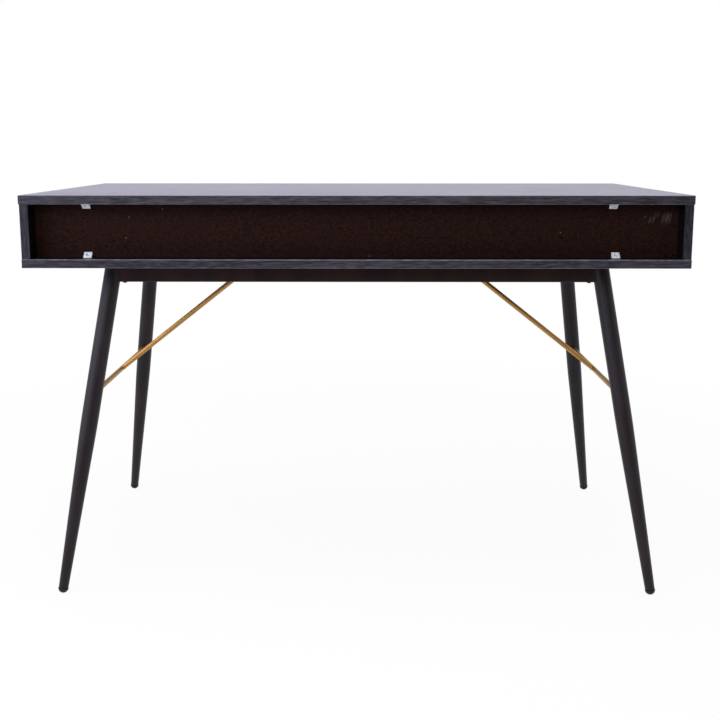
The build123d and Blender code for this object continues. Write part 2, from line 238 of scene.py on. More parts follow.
soft_lamp("lamp_above", (0, 0.2, 2.8), (0, 0.0, 0.7), 2.4, 1.6, 36, (1, 1, 1))
soft_lamp("lamp_front", (0.65, 2.7, 1.8), (0.0, 0.2, 0.6), 3.0, 1.2, 42, (0.97, 0.98, 1))
soft_lamp("lamp_left", (1.7, 1.1, 1.25), (0.5, 0.3, 0.7), 2.2, 1.8, 30, (0.80, 0.81, 1))

sheet_half = (2.6, 1.5)
sheet_place = (0, 3.2, 1.5)
sheet_bm = bmesh.new()
bmesh.ops.create_grid(sheet_bm, x_segments=1, y_segments=1, size=1)
bmesh.ops.transform(sheet_bm, matrix=Matrix.Diagonal((*sheet_half, 1, 1)), verts=sheet_bm.verts)
upright = Matrix.Translation(sheet_place) @ Matrix.Rotation(math.radians(90), 4, "X")
bmesh.ops.transform(sheet_bm, matrix=upright, verts=sheet_bm.verts)
dark_sheet = new_object("dark_sheet", sheet_bm)
dark_sheet.visible_camera = False
sheet_cloth = bpy.data.materials.new("dark_cloth")
sheet_cloth.use_nodes = True
cloth = sheet_cloth.node_tree.nodes["Principled BSDF"].inputs
cloth["Base Color"].default_value = (0.02, 0.02, 0.02, 1)
cloth["Roughness"].default_value = 1.0
dark_sheet.data.materials.append(sheet_cloth)
print("three soft lamps and a dark sheet behind the camera")

# %% [markdown]
# What varies over a surface, such as colour, roughness and fine relief, is linked to its shader, and what
# is the same all over is set on the shader itself. Patterns are noise in metres of the desk's own frame,
# stretched along the grain or the way the piece was drawn.


# %% Helpers for finishes
def new_finish(name):
    """A bare material, and the place on the desk that its patterns start from."""
    finish = bpy.data.materials.new(name)
    finish.use_nodes = True
    return finish, Wire(finish.node_tree).node("TexCoord", {}, {}, "Object")


def coat(finish, colour, roughness, normal, plain, lacquer=None):
    """Links what varies over the surface and sets what is the same all over."""
    shader = finish.node_tree.nodes["Principled BSDF"]
    varying = {"Base Color": colour, "Roughness": roughness, "Normal": normal}
    if lacquer is not None:
        varying["Coat Weight"] = lacquer
    for socket, wire in varying.items():
        finish.node_tree.links.new(wire.socket, shader.inputs[socket])
    for socket, value in plain.items():
        shader.inputs[socket].default_value = value
    return finish


def noise(place, waves, detail=3.0, roughness=0.5, distortion=0.0, turn=(0, 0, 0)):
    """Cloudy noise with so many waves to the metre, on all axes or on each."""
    if any(turn):
        place = place.node("Mapping", {}, {"Vector": place, "Rotation": turn})
    scale = waves if isinstance(waves, tuple) else (waves, waves, waves)
    mapped = place.node("Mapping", {}, {"Vector": place, "Scale": scale})
    look = {"Scale": 1.0, "Detail": detail, "Roughness": roughness, "Distortion": distortion}
    return place.node("TexNoise", {}, {"Vector": mapped} | look)


def tint(share, first, second):
    """One colour mixed into another."""
    return share.node("Mix", {"data_type": "RGBA"}, {0: share, 6: first, 7: second}, 2)


def relief(height, depth, strength=1.0):
    """A normal bent by a height map that is so many metres deep."""
    return height.node("Bump", {}, {"Height": height, "Strength": strength, "Distance": depth}, "Normal")


def axes_of(vector):
    """The three parts of a vector."""
    return {axis: vector.node("SeparateXYZ", {}, {"Vector": vector}, axis) for axis in "XYZ"}


print("helpers for finishes ready")

# %% [markdown]
# The boards are chipboard under a printed black-ash sheet with a fine embossed grain, and their edges are
# banded with the same pattern. The grain runs along each board and along each band, so it turns at the
# ends: the surface's own normal tells a band from a face. The bands of the two sides are duller. The
# eased arrises look along no axis. Where they look up they are paler, partly from rubbing wear and partly
# as painted highlight, and a thin painted highlight line runs along the top of the bottom board's edges.
# Faces that look into the box get painted shade: they are plain, almost black and without the coat; the
# steps below say where that starts.


# %% Black ash
side_step = (0.584, 0.590)
bay_step = (0.050, 0.056)
front_step = (-0.282, -0.278)
# Level of a thin painted highlight line along the top of the bottom board's edges.
lip_highlight_level = 0.6355


def black_ash(name, along, turned_way, ends, sheen, dull):
    """Black-ash laminate; along and turned_way order the axes on faces and on end bands."""
    finish, place = new_finish(name)
    at = axes_of(place)
    looks = {axis: abs(way) for axis, way in axes_of(place.node("TexCoord", {}, {}, "Normal")).items()}
    lengthwise, endwise = (
        place.node("CombineXYZ", {}, {axis: at[own] for axis, own in zip("XYZ", order)})
        for order in (along, turned_way)
    )
    on_end = rise(looks[ends], 0.6, 0.7)
    grain = place.node("Mix", {"data_type": "VECTOR"}, {0: on_end, 4: lengthwise, 5: endwise}, 1)
    figure = noise(grain, (1.6, 34, 34), 3, 0.6, 1.2)
    streak = noise(grain, (30, 300, 300), 3, 0.7)
    fine = noise(grain, (60, 900, 900), 2, 0.6)
    pore = rise(noise(grain, (34, 620, 620), 2, 0.6), 0.56, 0.66)
    tone = rise(0.15 * figure + 0.6 * streak + 0.25 * fine, 0.40, 0.62)
    colour = tint(tone, (0.0078, 0.0064, 0.0090, 1), (0.0420, 0.0365, 0.0540, 1))
    brown = rise(noise(grain, (5, 90, 90), 2), 0.45, 0.7)
    colour = tint(0.45 * brown, colour, (0.0200, 0.0160, 0.0215, 1))
    colour = tint(0.65 * pore, colour, (0.0050, 0.0050, 0.0065, 1))
    # Painted shade: faces that look into the box are tinted almost black and lose their coat. These are
    # the sides, the divider, and the bay's floor and ceiling.
    inside = rise(looks["X"], 0.6, 0.7) * (1 - rise(abs(at["X"]), *side_step))
    shelf_shade = rise(looks["Z"], 0.8, 0.9) * (1 - rise(abs(at["Z"] - bay_middle), *bay_step))
    inside = place.maths("MAXIMUM", inside, shelf_shade * rise(at["Y"], *front_step))
    colour = tint(0.95 * inside, colour, (0.0015, 0.0014, 0.0016, 1))
    flattest = place.maths("MAXIMUM", looks["X"], place.maths("MAXIMUM", looks["Y"], looks["Z"]))
    arris = 1 - rise(flattest, 0.80, 0.95)
    # Arrises that look up are tinted paler, partly from rubbing wear and partly as painted highlight. The
    # thin line at the lip level is painted highlight only.
    rubbed_and_lit = arris * rise(looks["Z"], 0.5, 0.65)
    eased = arris - rubbed_and_lit
    lip_highlight = rise(looks["Y"], 0.8, 0.9) * (1 - rise(abs(at["Z"] - lip_highlight_level), 0.0008, 0.0016))
    rubbed_and_lit = place.maths("MAXIMUM", rubbed_and_lit, lip_highlight)
    paled = rubbed_and_lit * (0.4 + 0.5 * rise(noise(place, 60, 3), 0.4, 0.65))
    colour = tint(paled, colour, (0.150, 0.143, 0.180, 1))
    gloss = 0.26 + 0.08 * streak + 0.10 * noise(grain, (7, 12, 12), 3, 0.6) + 0.4 * eased
    lacquer = (1 - 0.6 * pore) * (0.26 + 0.22 * tone + 0.22 * rise(figure, 0.35, 0.65))
    lacquer = lacquer * (1 - 0.8 * eased) * (1 - inside) * (1 - dull * on_end)
    colour = tint(0.6 * dull * on_end, colour, (0.0050, 0.0050, 0.0065, 1))
    height = 0.4 * streak + 0.2 * fine - 0.6 * pore
    shine = {"IOR": 1.5, "Specular IOR Level": 0.15, "Coat IOR": 1.5, "Coat Roughness": 0.42}
    bloom = {"Sheen Weight": sheen, "Sheen Roughness": 0.3, "Sheen Tint": (0.72, 0.68, 1.0, 1)}
    return coat(finish, colour, gloss, relief(height, 0.00012, 0.5), shine | bloom, lacquer)


ash_top = black_ash("black_ash_top", "XYZ", "YXZ", "X", 0.32, 0.0)
ash_along = black_ash("black_ash_along", "XYZ", "YXZ", "X", 0.0, 0.0)
ash_deep = black_ash("black_ash_deep", "YXZ", "ZXY", "Y", 0.0, 0.5)
print("finishes:", ash_top.name, ash_along.name, ash_deep.name)

# %% [markdown]
# The sunk back and the drawer bottoms are thin hardboard, dark brown and matt, with the felted look of
# pressed fibres. The real back carries specks of dust and, near the right end of the picture, two wiped
# scuffs. The specks are the small middles of some cells of a Voronoi pattern, and a few that stand out
# are placed one by one. The scuffs are narrow leaning ovals, broken up by noise.

# %% Hardboard
hardboard, place = new_finish("hardboard")
at = axes_of(place)
felt = noise(place, 420, 4, 0.75)
fibres = noise(place, (160, 700, 420), 3, 0.6, 0.8)
cloud = noise(place, (9, 9, 14), 3, 0.55)
mottle = noise(place, 190, 2, 0.6)
weave = rise(0.35 * felt + 0.3 * fibres + 0.35 * mottle, 0.34, 0.66)
colour = tint(weave, (0.0048, 0.0014, 0.0010, 1), (0.0245, 0.0097, 0.0070, 1))
colour = tint(0.4 * rise(cloud, 0.42, 0.72), colour, (0.0155, 0.0064, 0.0048, 1))


def oval(centre_x, centre_z, half_x, half_z, lean=0.0):
    """1 in the middle of an upright or leaning oval on the back, 0 outside it."""
    across = (at["X"] + lean * at["Z"] - (centre_x + lean * centre_z)) * (1 / half_x)
    upward = (at["Z"] - centre_z) * (1 / half_z)
    return 1 - rise(across * across + upward * upward, 0.1, 1.0)


scuffs = [
    (-0.5552, 0.7065, 0.012),
    (-0.5616, 0.7070, 0.014),
    (-0.5673, 0.7105, 0.010),
    (-0.5310, 0.7038, 0.008),
    (-0.5385, 0.7090, 0.013),
    (-0.5450, 0.7140, 0.006),
    (-0.5224, 0.7096, 0.003),
]
scuff_half, scuff_lean = 0.0028, 0.22
wiped = 0.5 * oval(-0.561, 0.707, 0.012, 0.015)
for scuff_x, scuff_z, half_height in scuffs:
    wiped = wiped + oval(scuff_x, scuff_z, scuff_half, half_height, scuff_lean)
broken = 0.25 + 0.75 * rise(noise(place, 300, 3, 0.6), 0.40, 0.60)
colour = tint(place.maths("MINIMUM", 0.42 * broken * wiped, 0.6), colour, (0.088, 0.076, 0.072, 1))
cells = {"Vector": place, "Scale": 26.0}
spread = place.node("TexVoronoi", {}, cells, "Distance")
chance = axes_of(place.node("TexVoronoi", {}, cells, "Color"))["X"]
dust = (1 - rise(spread, 0.010, 0.024)) * rise(chance, 0.62, 0.90)
specks = [(0.4117, 0.709), (0.3503, 0.7237), (0.4185, 0.6714), (-0.3701, 0.6811), (-0.0245, 0.6385)]
speck_half = 0.0012
for speck_x, speck_z in specks:
    dust = dust + oval(speck_x, speck_z, speck_half, speck_half)
colour = tint(place.maths("MINIMUM", 0.8 * dust, 0.8), colour, (0.20, 0.17, 0.14, 1))
coat(
    hardboard,
    colour,
    0.62 + 0.2 * felt,
    relief(felt + fibres, 0.00015, 0.5),
    {"IOR": 1.45, "Specular IOR Level": 0.05},
)
print("finish:", hardboard.name)

# %% [markdown]
# The drawer boards are covered with a plain dark sheet: hardly any figure, but a fine matt weave.

# %% Drawer board
drawer_board, place = new_finish("drawer_board")
linen = noise(place, (22, 900, 900), 3, 0.6) * 0.5 + noise(place, (900, 22, 900), 3, 0.6) * 0.5
patch = noise(place, 7, 3)
colour = tint(rise(linen, 0.36, 0.64), (0.050, 0.049, 0.053, 1), (0.082, 0.080, 0.086, 1))
colour = tint(0.35 * rise(patch, 0.4, 0.7), colour, (0.056, 0.053, 0.054, 1))
coat(drawer_board, colour, 0.5 + 0.16 * linen, relief(linen, 0.0001, 0.4), {"IOR": 1.48})
print("finish:", drawer_board.name)

# %% [markdown]
# Legs and rails are powder coated. The powder melts into a satin skin with a slight orange peel, so the
# relief is a soft fine noise. A wider one shows where hands and shoes have polished it.


# %% Black powder coat
def powder_coat(name, dark, pale, specular):
    """Black powder coat between two shades."""
    finish, place = new_finish(name)
    peel = noise(place, 620, 2, 0.5)
    handled = noise(place, (16, 16, 7), 4, 0.6)
    grit = rise(noise(place, 2400, 1), 0.62, 0.75)
    colour = tint(rise(handled, 0.35, 0.7), dark, pale)
    colour = tint(0.25 * grit, colour, (0.035, 0.033, 0.036, 1))
    return coat(
        finish,
        colour,
        0.34 + 0.16 * handled,
        relief(peel, 0.00006, 0.35),
        {"IOR": 1.5, "Specular IOR Level": specular, "Specular Tint": (0.92, 0.90, 1.0, 1)},
    )


leg_steel = powder_coat("powder_coat_legs", (0.0085, 0.0055, 0.0062, 1), (0.016, 0.011, 0.0124, 1), 0.24)
# The rails have the same black coat as the legs. Their redder, lighter shades are painted warm light.
rail_steel_painted_warm = powder_coat("powder_coat_rails_painted_warm", (0.0165, 0.007, 0.006, 1), (0.029, 0.013, 0.0116, 1), 0.11)
print("finishes:", leg_steel.name, rail_steel_painted_warm.name)

# %% [markdown]
# The foot caps are moulded in black plastic, greyed where they rub on the floor. The bolts under the
# rails are blackened steel, a dark metal with an oily sheen.

# %% Black plastic and black bolts
black_plastic, place = new_finish("black_plastic")
mould = noise(place, 900, 2)
paled = (1 - rise(axes_of(place)["Z"], 0.0004, 0.0022)) * rise(noise(place, 500, 3), 0.35, 0.6)
colour = tint(rise(mould, 0.3, 0.7), (0.0085, 0.0085, 0.0095, 1), (0.0125, 0.0125, 0.0140, 1))
colour = tint(0.7 * paled, colour, (0.060, 0.058, 0.056, 1))
coat(
    black_plastic,
    colour,
    0.20 + 0.06 * mould + 0.35 * paled,
    relief(mould, 0.00003, 0.3),
    {"IOR": 1.5, "Specular IOR Level": 0.18},
)

black_bolt, place = new_finish("black_bolt")
bloom = noise(place, 420, 3)
colour = tint(rise(bloom, 0.35, 0.7), (0.030, 0.029, 0.031, 1), (0.060, 0.056, 0.054, 1))
coat(black_bolt, colour, 0.32 + 0.2 * bloom, relief(bloom, 0.00003, 0.3), {"Metallic": 0.85})
print("finishes:", black_plastic.name, black_bolt.name)

# %% [markdown]
# The rods are brass plated and softly polished. Polishing leaves hair lines, so the noise is stretched
# the way the rod runs: the pattern is turned to the depth for the stretchers, and to its own slope for
# each brace. Broader noise gives the browning of handled brass.


# %% Brass
def brass(name, turn):
    """Polished brass with hair lines along X after the turn."""
    finish, place = new_finish(name)
    hair = noise(place, (9, 1300, 1300), 2, 0.5, 0.0, turn)
    brown = rise(noise(place, 24, 4, 0.6), 0.45, 0.75)
    spots = rise(noise(place, 300, 2), 0.60, 0.80)
    colour = tint(rise(hair, 0.3, 0.7), (0.37, 0.198, 0.055, 1), (0.44, 0.250, 0.082, 1))
    colour = tint(0.35 * brown + 0.2 * spots, colour, (0.25, 0.130, 0.048, 1))
    rough = 0.40 + 0.10 * hair + 0.10 * brown
    return coat(finish, colour, rough, relief(hair, 0.00001, 0.2), {"Metallic": 1.0})


brace_slope = math.atan2(pad_bottom - stretcher_z, stretcher_x - pad_x)
brass_stretcher = brass("brass_stretcher", (0, 0, math.radians(90)))
brass_left = brass("brass_left_brace", (0, brace_slope, 0))
brass_right = brass("brass_right_brace", (0, -brace_slope, 0))
print("brass braces rise at", round(math.degrees(brace_slope), 1), "degrees")

# %% [markdown]
# The wedge clips are moulded plastic, slightly uneven and a little grey with dust. The rollers are
# natural nylon, warmer and waxier, with some grime.

# %% White plastic and nylon
white_plastic, place = new_finish("white_plastic")
mould = noise(place, 650, 3)
grey = rise(noise(place, 160, 3), 0.5, 0.8)
colour = tint(0.4 * grey, (0.70, 0.71, 0.76, 1), (0.50, 0.48, 0.49, 1))
coat(white_plastic, colour, 0.42 + 0.15 * mould, relief(mould, 0.00006, 0.4), {"IOR": 1.49})

nylon, place = new_finish("nylon")
wax = noise(place, 500, 3)
grime = rise(noise(place, 240, 4, 0.65), 0.52, 0.74)
colour = tint(rise(wax, 0.3, 0.7), (0.74, 0.72, 0.66, 1), (0.82, 0.81, 0.77, 1))
colour = tint(0.45 * grime, colour, (0.34, 0.32, 0.29, 1))
coat(nylon, colour, 0.38 + 0.2 * wax + 0.15 * grime, relief(wax, 0.00005, 0.35), {"IOR": 1.53})
print("finishes:", white_plastic.name, nylon.name)

# %% [markdown]
# The runners are zinc-plated sheet, whose crystals show as faint flat patches and whose rolling leaves
# lines along the strip. The cams are die-cast zinc, dull and pitted. The screws are plated steel, with
# the faint yellow that plating takes.

# %% Zinc sheet, zinc casting and screws
zinc_sheet, place = new_finish("zinc_sheet")
crystal = axes_of(place.node("TexVoronoi", {}, {"Vector": place, "Scale": 260.0}, "Color"))["X"]
rolled = noise(place, (1500, 12, 1500), 3, 0.6)
oil = rise(noise(place, (40, 14, 40), 4), 0.5, 0.75)
colour = tint(0.6 * crystal + 0.4 * rolled, (0.50, 0.51, 0.53, 1), (0.68, 0.69, 0.70, 1))
colour = tint(0.3 * oil, colour, (0.40, 0.38, 0.35, 1))
coat(
    zinc_sheet,
    colour,
    0.28 + 0.12 * crystal + 0.10 * rolled,
    relief(rolled, 0.00003, 0.4),
    {"Metallic": 1.0},
)

zinc_casting, place = new_finish("zinc_casting")
pits = noise(place, 1100, 4, 0.7)
colour = tint(rise(pits, 0.35, 0.65), (0.42, 0.42, 0.42, 1), (0.60, 0.60, 0.59, 1))
coat(zinc_casting, colour, 0.42 + 0.2 * pits, relief(pits, 0.00008, 0.5), {"Metallic": 1.0})

screw_steel, place = new_finish("screw_steel")
plating = noise(place, 800, 3)
yellow = rise(noise(place, 150, 3), 0.45, 0.7)
colour = tint(0.5 * yellow, (0.58, 0.58, 0.58, 1), (0.60, 0.56, 0.45, 1))
coat(screw_steel, colour, 0.24 + 0.18 * plating, relief(plating, 0.00003, 0.4), {"Metallic": 1.0})
print("finishes:", zinc_sheet.name, zinc_casting.name, screw_steel.name)

# %% [markdown]
# The dowels of the divider are beech with small dark flecks. They stand upright, so their grain runs
# along Z.

# %% Beech
beech, place = new_finish("beech")
flecks = rise(noise(place, (900, 900, 160), 2), 0.60, 0.72)
rings = noise(place, (260, 260, 18), 3, 0.6)
colour = tint(rise(rings, 0.3, 0.7), (0.50, 0.34, 0.19, 1), (0.66, 0.49, 0.31, 1))
colour = tint(0.5 * flecks, colour, (0.36, 0.22, 0.12, 1))
coat(beech, colour, 0.55 + 0.15 * rings, relief(rings - 0.5 * flecks, 0.0001, 0.5), {"IOR": 1.45})
print("finish:", beech.name)

# %% [markdown]
# The boards, the hidden dowels and the hidden cam bolts keep their CAD shape, which has the grooves,
# bores and eased edges. Each CAD node has one slot, and the finish goes into it.


# %% Dress the CAD boards
def dress(finish, *names):
    """Gives CAD nodes a finish."""
    for name in names:
        nodes[name].data.materials[0] = finish


dress(ash_top, "top_panel")
dress(ash_along, "bottom_panel", "left_drawer_front", "right_drawer_front")
dress(ash_deep, "left_side_panel", "right_side_panel", "centre_divider")
dress(hardboard, "back_panel", "left_drawer_bottom", "right_drawer_bottom")
dress(beech, "divider_dowels")
dress(zinc_casting, "carcass_cam_bolts", "left_drawer_cam_bolts", "right_drawer_cam_bolts")
for drawer in ("left_drawer", "right_drawer"):
    dress(drawer_board, drawer + "_back", drawer + "_left_side", drawer + "_right_side")
print("dressed", sum(1 for node in nodes.values() if node.data.materials[0].node_tree), "nodes so far")

# %% [markdown]
# Round pieces are half a section turned about an axis, as on a lathe. Each is made upright at the origin,
# then carried to its place by a matrix that lays its axis between two points, so that the finished object
# itself stays at the origin, unturned.


# %% Helpers for pieces
def turned(section, sides=48):
    """A round piece: points of (radius, height) turn about the upright axis."""
    bm = bmesh.new()
    points = [bm.verts.new((radius, 0, height)) for radius, height in section]
    edges = [bm.edges.new(pair) for pair in zip(points, points[1:])]
    axis = {"cent": (0, 0, 0), "axis": (0, 0, 1), "angle": math.tau}
    bmesh.ops.spin(bm, geom=points + edges, steps=sides, use_merge=True, **axis)
    bmesh.ops.remove_doubles(bm, verts=bm.verts, dist=1e-6)
    bmesh.ops.recalc_face_normals(bm, faces=bm.faces)
    return bm


def carried(bm, place):
    """The shape after a matrix has carried it."""
    bmesh.ops.transform(bm, matrix=place, verts=bm.verts)
    return bm


def laid(start, finish):
    """The matrix that carries an upright piece from the origin to the line between two points."""
    way = Vector(finish) - Vector(start)
    return Matrix.Translation(start) @ way.to_track_quat("Z", "Y").to_matrix().to_4x4()


def gather(bm, other, place=None):
    """Carries a shape to its place and adds it to another."""
    if place is not None:
        carried(other, place)
    carrier = bpy.data.meshes.new("carrier")
    other.to_mesh(carrier)
    other.free()
    bm.from_mesh(carrier)
    bpy.data.meshes.remove(carrier)


def settle(bm, name, body, finish, slot, *replaced):
    """Turns a shape into a piece that rides on a body and stands for CAD nodes."""
    bmesh.ops.remove_doubles(bm, verts=bm.verts, dist=2e-6)
    bmesh.ops.recalc_face_normals(bm, faces=bm.faces)
    piece = new_object(name, bm)
    mesh = piece.data
    mesh.shade_smooth()
    mesh.set_sharp_from_angle(angle=math.radians(34))
    mesh.materials.append(finish)
    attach(piece, body)
    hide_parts(*replaced)
    print(name, "has", len(mesh.polygons), "faces and stands for", len(replaced), "CAD nodes")


print("helpers for pieces ready")

# %% [markdown]
# Other shapes start as a block or an outline with rounded edges. Pieces that end on the floor or under
# the box are cut level there.


# %% Blocks and cuts
def block(size):
    """A block about the origin."""
    bm = bmesh.new()
    bmesh.ops.create_cube(bm, size=1)
    bmesh.ops.scale(bm, vec=size, verts=bm.verts)
    return bm


def spans(edge, axis):
    """Whether an edge runs along an axis."""
    return abs(edge.verts[0].co[axis] - edge.verts[1].co[axis]) > 1e-6


def rounded(bm, edges, radius, steps):
    """Rounds edges of a shape."""
    rounding = {"offset": radius, "segments": steps, "profile": 0.5, "affect": "EDGES", "material": -1}
    bmesh.ops.bevel(bm, geom=edges, **rounding)


def only(kind, parts):
    """The vertices or the edges among the parts that an operator gives back."""
    return [part for part in parts if isinstance(part, kind)]


def cut_level(bm, height, keep_below):
    """Cuts a shape level at a height, keeps one side of it and closes the cut."""
    whole = bm.verts[:] + bm.edges[:] + bm.faces[:]
    level = {"plane_co": (0, 0, height), "plane_no": (0, 0, 1)}
    sides = {"clear_outer": keep_below, "clear_inner": not keep_below}
    cut = bmesh.ops.bisect_plane(bm, geom=whole, **level, **sides)
    bmesh.ops.edgeloop_fill(bm, edges=only(bmesh.types.BMEdge, cut["geom_cut"]))


print("helpers for blocks and cuts ready")

# %% [markdown]
# A leg is a straight steel tube whose lower half is swaged to a taper. The swage leaves no edge where the
# taper starts, so a few points of the section ease the change. The top is cut level where it meets the
# box.

# %% Legs
leg_end = 0.0097
taper_height = 0.312
taper_start = taper_height * leg_length / box_bottom
leg_radius = 0.016
end_radius = 0.009
slope = (leg_radius - end_radius) / (taper_start - leg_end)
ease = 0.03
leg_section = [
    (0, leg_end),
    (end_radius - 0.0006, leg_end),
    (end_radius - 0.0002, leg_end + 0.0002),
    (end_radius, leg_end + 0.0007),
    (leg_radius - slope * ease, taper_start - ease),
]
ease_steps = 8
for step in range(1, ease_steps):
    share = step / ease_steps
    sag = slope * ease * (1 - share) ** 2
    leg_section.append((leg_radius - sag, taper_start - ease + 2 * ease * share))
leg_section.append((leg_radius, taper_start + ease))
leg_section.append((leg_radius, leg_length + leg_radius))


def leg_place(side, row):
    """The matrix that stands a leg at its corner."""
    mirror = Vector((side, row, 1))
    return laid(leg_foot * mirror, leg_top * mirror)


corners = {(-1, -1): "front_left", (1, -1): "front_right", (-1, 1): "rear_left", (1, 1): "rear_right"}
for (side, row), corner in corners.items():
    leg = carried(turned(leg_section, 64), leg_place(side, row))
    cut_level(leg, box_bottom, True)
    settle(leg, corner + "_leg_tube", "root", leg_steel, "black_steel", corner + "_leg")

# %% [markdown]
# Each foot has a plastic cap: half an egg, a little wider than the tube's end, which stands on the floor
# on a small worn flat. The section is the arc of the egg, a soft rim, and a fine groove under the tube.

# %% Foot caps
rim_radius = 0.0096
dome_height = 0.0093
dome_level = 0.0090
dome_centre = dome_level * leg_length / box_bottom
dome_steps = 16
groove = 0.0002
neck_radius = end_radius - 0.0010
cap_section = []
for step in range(dome_steps + 1):
    angle = math.radians(90) * step / dome_steps
    cap_section.append((rim_radius * math.sin(angle), dome_centre - dome_height * math.cos(angle)))
cap_section += [
    (rim_radius - groove, leg_end - groove),
    (neck_radius, leg_end - groove),
    (neck_radius, leg_end + groove),
    (0, leg_end + groove),
]
caps = bmesh.new()
for side, row in corners:
    cap = carried(turned(cap_section, 48), leg_place(side, row))
    cut_level(cap, 0, False)
    gather(caps, cap)
settle(caps, "foot_cap_shells", "root", black_plastic, "black_plastic", "foot_caps")

# %% [markdown]
# The rails are rectangular steel tube with rolled corners, welded between the legs of a row. Around each
# end goes a weld: a short collar, wider than the rail, whose points are pushed along the rail until they
# lie on the round and leaning leg.

# %% Rails
rail_low, rail_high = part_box("rear_rail")
rail_y = (rail_low.y + rail_high.y) / 2
rail_half = 0.462
rail_corner = 0.0028
rail_size = Vector((2 * rail_half, rail_high.y - rail_low.y, rail_high.z - rail_low.z))
rail_middle = Vector((0, rail_y, (rail_low.z + rail_high.z) / 2))
weld_size = Vector((0.004, rail_size.y + 0.003, rail_size.z - 0.001))
weld_corner = 0.0034
weld_edge = 0.0013
weld_middle = rail_middle - Vector((0, 0, 0.0005))


def soft_bar(size, radius, steps):
    """A bar along X with rounded long edges."""
    bm = block(size)
    rounded(bm, [edge for edge in bm.edges if spans(edge, 0)], radius, steps)
    return bm


def leg_surface(point, side):
    """How far along X a point has to go to lie on the leg's inner face."""
    drop = box_bottom - point.z
    axis_x = leg_top.x + lean_x * drop
    axis_y = leg_top.y + lean_y * drop
    off = min(abs(point.y - axis_y), leg_radius * 0.98)
    return side * (axis_x - math.sqrt(leg_radius**2 - off**2) * 1.02)


for row, row_name in ((-1, "front"), (1, "rear")):
    beam = soft_bar(rail_size, rail_corner, 5)
    bmesh.ops.translate(beam, vec=rail_middle, verts=beam.verts)
    for side in (-1, 1):
        weld = soft_bar(weld_size, weld_corner, 5)
        rounded(weld, [edge for edge in weld.edges if not spans(edge, 0)], weld_edge, 3)
        bmesh.ops.translate(weld, vec=weld_middle, verts=weld.verts)
        for vert in weld.verts:
            vert.co.x += leg_surface(vert.co, side)
        gather(beam, weld)
    bmesh.ops.scale(beam, vec=(1, row, 1), verts=beam.verts)
    settle(beam, row_name + "_rail_tube", "root", rail_steel_painted_warm, "black_steel", row_name + "_rail")

# %% [markdown]
# Each rail is held to the box by two bolts, whose button heads hang below it. The head is a turned dome.
# Its socket becomes a hexagon when the points of the inner ring are drawn in to the flats.

# %% Rail bolts
bolt_low, bolt_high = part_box("rail_bolts")
head_radius = bolt_high.y - rail_y
head_height = rail_low.z - bolt_low.z
bolt_x = bolt_high.x - head_radius
socket_radius = head_radius * 0.46
shank_radius = 0.003
shank_end = head_height + 0.004
bolt_section = [
    (0, head_height * 0.35),
    (socket_radius, head_height * 0.35),
    (socket_radius, 0.0001),
    (socket_radius + 0.0004, 0),
    (head_radius * 0.62, head_height * 0.04),
    (head_radius * 0.80, head_height * 0.20),
    (head_radius * 0.93, head_height * 0.48),
    (head_radius * 0.99, head_height * 0.80),
    (head_radius, head_height),
    (shank_radius, head_height),
    (shank_radius, shank_end),
    (0, shank_end),
]
bolts = bmesh.new()
for side, row in corners:
    head = turned(bolt_section, 48)
    for vert in head.verts:
        reach = math.hypot(vert.co.x, vert.co.y)
        if 1e-6 < reach <= socket_radius + 1e-6:
            angle = math.atan2(vert.co.y, vert.co.x) % math.radians(60) - math.radians(30)
            flat = math.cos(math.radians(30)) / math.cos(angle)
            vert.co.x *= flat
            vert.co.y *= flat
    gather(bolts, head, Matrix.Translation((side * bolt_x, row * rail_y, bolt_low.z)))
settle(bolts, "rail_button_bolts", "root", black_bolt, "black_bolt", "rail_bolts")

# %% [markdown]
# A stretcher is a brass rod between the two legs of one end. It is brazed to them, which leaves a small
# smooth collar. The rod is turned with its collars in one section, and they sit where the leg's surface
# is.

# %% Stretchers
rod_radius = 0.005
swell = 0.0004
collar_root = 0.003
bead = [(swell, 0.0), (0.0003, 0.0005), (0.0001, 0.0010), (-0.0003, 0.0013), (0.0, 0.0017)]
weld_y = stretcher_y - leg_radius - 0.0006
rod_reach = stretcher_y - 0.004


def brazed_rod(length, low_collar, high_collar):
    """A rod along Z with a collar at a distance from each end."""
    section = [(0, 0), (rod_radius, 0)]
    for collar, way in ((low_collar, 1), (length - high_collar, -1)):
        points = [(rod_radius + proud, collar + way * reach) for proud, reach in bead]
        root = [(rod_radius + swell, collar - way * collar_root)]
        section += root + points if way > 0 else points[::-1] + root
    section += [(rod_radius, length), (0, length)]
    return turned(section, 40)


for side, side_name in ((-1, "left"), (1, "right")):
    ends = [(side * stretcher_x, way * rod_reach, stretcher_z) for way in (-1, 1)]
    rod = brazed_rod(2 * rod_reach, rod_reach - weld_y, rod_reach - weld_y)
    carried(rod, laid(*ends))
    settle(rod, side_name + "_stretcher_rod", "root", brass_stretcher, "brass", side_name + "_stretcher")

# %% [markdown]
# A brace rises from the middle of its stretcher to the underside of the box, where it ends in a small
# flat pad with two screws. The rod starts on the stretcher's axis, hidden in the metal, and a brazed
# collar stands where the two surfaces meet. The pad has rounded corners and a softened lower rim.

